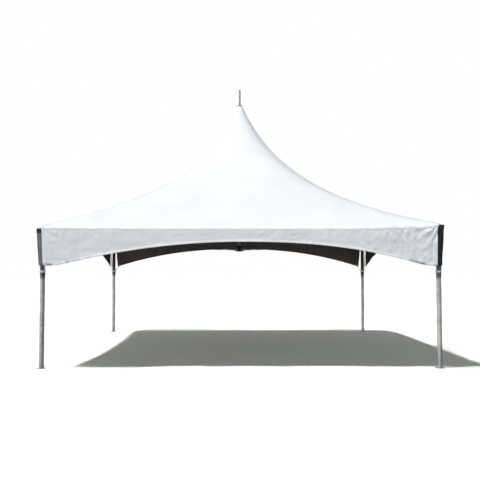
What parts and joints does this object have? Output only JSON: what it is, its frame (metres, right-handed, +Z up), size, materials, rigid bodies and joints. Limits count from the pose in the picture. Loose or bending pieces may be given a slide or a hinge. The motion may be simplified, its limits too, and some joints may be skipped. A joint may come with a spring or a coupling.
{
  "type": "marquee tent",
  "caption": "White high-peak marquee tent with arched valances, tube legs on round feet and a mast carried on crossed cables.",
  "frame": {"origin": "centre of the tent on the ground", "axes": "+Z up, the front side faces -Y, +X to the right as seen from the front"},
  "size_m": [6.15, 6.15, 5.05],
  "materials": {
    "white_vinyl": "satin",
    "black_webbing": "matte",
    "pale_cord": "matte",
    "aluminium_tube": "satin",
    "cast_aluminium": "rough",
    "galvanised_steel": "satin",
    "steel_cable": "satin"
  },
  "bodies": {
    "root": {"base_plate_front_left": "galvanised_steel", "leg_front_left": "aluminium_tube", "corner_fitting_front_left": "cast_aluminium", "cable_front_left": "steel_cable", "corner_strap_front_left": "black_webbing", "valance_tie_front_left": "pale_cord", "base_plate_front_right": "galvanised_steel", "leg_front_right": "aluminium_tube", "corner_fitting_front_right": "cast_aluminium", "cable_front_right": "steel_cable", "corner_strap_front_right": "black_webbing", "valance_tie_front_right": "pale_cord", "base_plate_rear_left": "galvanised_steel", "leg_rear_left": "aluminium_tube", "corner_fitting_rear_left": "cast_aluminium", "cable_rear_left": "steel_cable", "corner_strap_rear_left": "black_webbing", "valance_tie_rear_left": "pale_cord", "base_plate_rear_right": "galvanised_steel", "leg_rear_right": "aluminium_tube", "corner_fitting_rear_right": "cast_aluminium", "cable_rear_right": "steel_cable", "corner_strap_rear_right": "black_webbing", "valance_tie_rear_right": "pale_cord", "eave_beam_front": "aluminium_tube", "eave_beam_rear": "aluminium_tube", "eave_beam_left": "aluminium_tube", "eave_beam_right": "aluminium_tube", "mast_tube": "aluminium_tube", "mast_foot": "cast_aluminium", "mast_spike": "aluminium_tube", "mast_crown": "cast_aluminium", "peak_cap": "cast_aluminium", "roof_panel_front": "white_vinyl", "valance_front": "white_vinyl", "roof_panel_right": "white_vinyl", "valance_right": "white_vinyl", "roof_panel_rear": "white_vinyl", "valance_rear": "white_vinyl", "roof_panel_left": "white_vinyl", "valance_left": "white_vinyl"}
  },
  "joints": []
}
